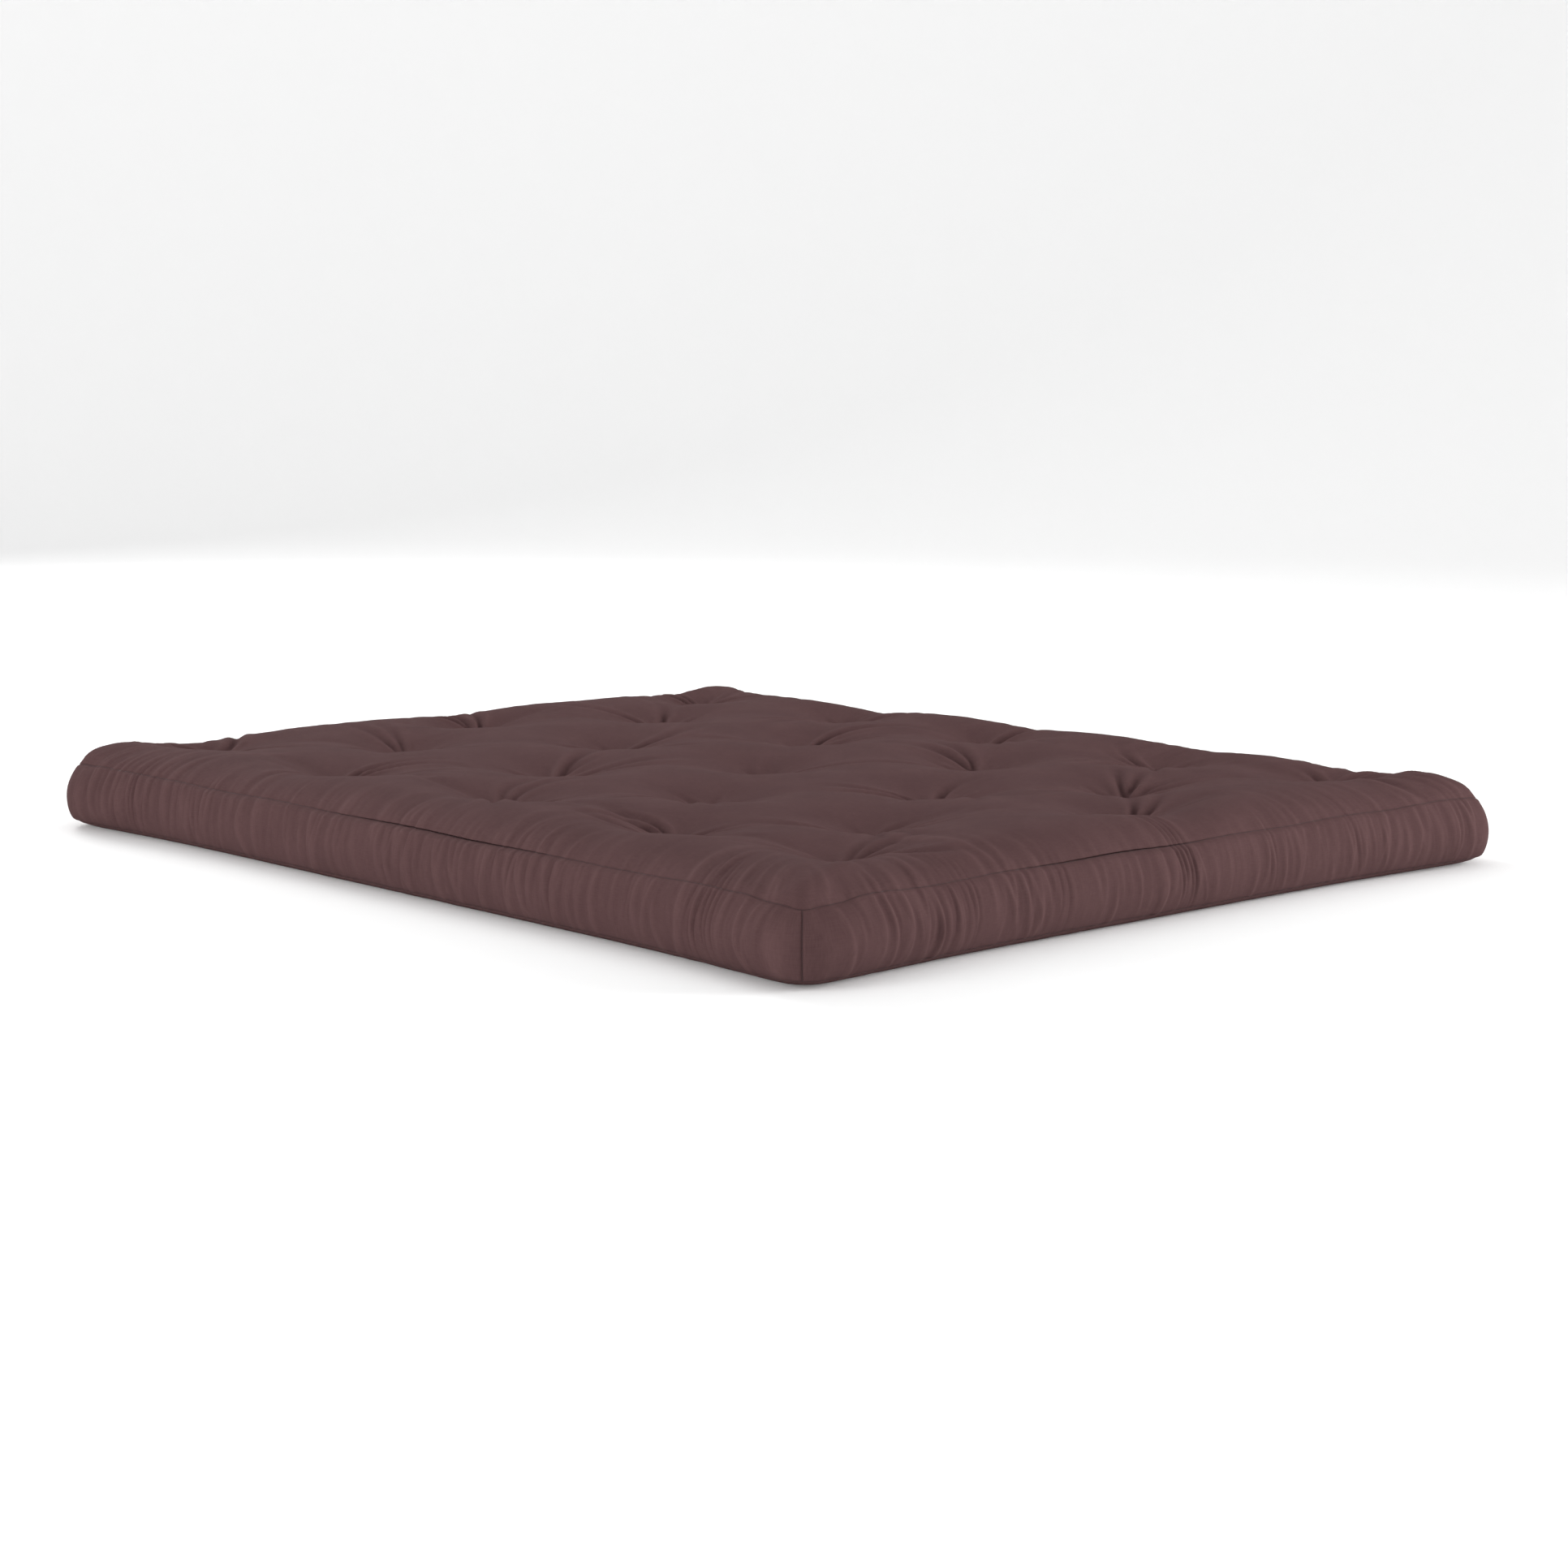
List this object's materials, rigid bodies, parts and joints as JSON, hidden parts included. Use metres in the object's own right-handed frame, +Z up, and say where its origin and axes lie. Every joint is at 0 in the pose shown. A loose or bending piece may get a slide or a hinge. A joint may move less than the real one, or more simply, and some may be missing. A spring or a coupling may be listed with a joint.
{
  "type": "futon mattress",
  "caption": "Loose tufted futon mattress with a box-edged cotton cover over layered batting and a foam core, folding once across its width.",
  "frame": {"origin": "middle of the underside, on the surface that the mattress lies on", "axes": "+X across the width to the right, +Y along the length from the seat end to the back end, +Z up"},
  "size_m": [1.6, 2.02, 0.155],
  "materials": {
    "cover_cotton": "matt brown cotton drill with a fine grain",
    "seam_thread": "matt spun thread, a shade darker than the cover",
    "cotton_batting": "unbleached carded cotton, fluffy and matt",
    "foam": "cream open-cell polyurethane foam, matt",
    "tufting_twine": "waxed twisted twine, a shade darker than the cover"
  },
  "bodies": {
    "seat": {"corner_seam_front_left": "seam_thread", "corner_seam_front_right": "seam_thread", "cotton_batt_lower_1_seat": "cotton_batting", "cotton_batt_lower_2_seat": "cotton_batting", "cotton_batt_lower_3_seat": "cotton_batting", "cotton_batt_upper_1_seat": "cotton_batting", "cotton_batt_upper_2_seat": "cotton_batting", "cotton_batt_upper_3_seat": "cotton_batting", "cover_band_front": "cover_cotton", "cover_band_left_seat": "cover_cotton", "cover_band_right_seat": "cover_cotton", "cover_base_panel_seat": "cover_cotton", "cover_top_panel_seat": "cover_cotton", "foam_core_seat": "foam", "lower_seam_seat": "seam_thread", "tuft_tie_1_1": "tufting_twine", "tuft_tie_1_2": "tufting_twine", "tuft_tie_1_3": "tufting_twine", "tuft_tie_2_1": "tufting_twine", "tuft_tie_2_2": "tufting_twine", "tuft_tie_3_1": "tufting_twine", "tuft_tie_3_2": "tufting_twine", "tuft_tie_3_3": "tufting_twine", "tuft_tie_4_1": "tufting_twine", "tuft_tie_4_2": "tufting_twine", "tuft_tie_5_1": "tufting_twine", "tuft_tie_5_2": "tufting_twine", "tuft_tie_5_3": "tufting_twine", "upper_seam_seat": "seam_thread"},
    "back": {"corner_seam_rear_left": "seam_thread", "corner_seam_rear_right": "seam_thread", "cotton_batt_lower_1_back": "cotton_batting", "cotton_batt_lower_2_back": "cotton_batting", "cotton_batt_lower_3_back": "cotton_batting", "cotton_batt_upper_1_back": "cotton_batting", "cotton_batt_upper_2_back": "cotton_batting", "cotton_batt_upper_3_back": "cotton_batting", "cover_band_left_back": "cover_cotton", "cover_band_rear": "cover_cotton", "cover_band_right_back": "cover_cotton", "cover_base_panel_back": "cover_cotton", "cover_top_panel_back": "cover_cotton", "foam_core_back": "foam", "lower_seam_back": "seam_thread", "tuft_tie_1_4": "tufting_twine", "tuft_tie_1_5": "tufting_twine", "tuft_tie_2_3": "tufting_twine", "tuft_tie_2_4": "tufting_twine", "tuft_tie_3_4": "tufting_twine", "tuft_tie_3_5": "tufting_twine", "tuft_tie_4_3": "tufting_twine", "tuft_tie_4_4": "tufting_twine", "tuft_tie_5_4": "tufting_twine", "tuft_tie_5_5": "tufting_twine", "upper_seam_back": "seam_thread"}
  },
  "joints": [
    {"name": "fold", "type": "hinge", "parent": "seat", "child": "back", "pos_m": [0, 0.105, 0.163], "axis": [1, 0, 0], "range_deg": [0, 175]}
  ]
}
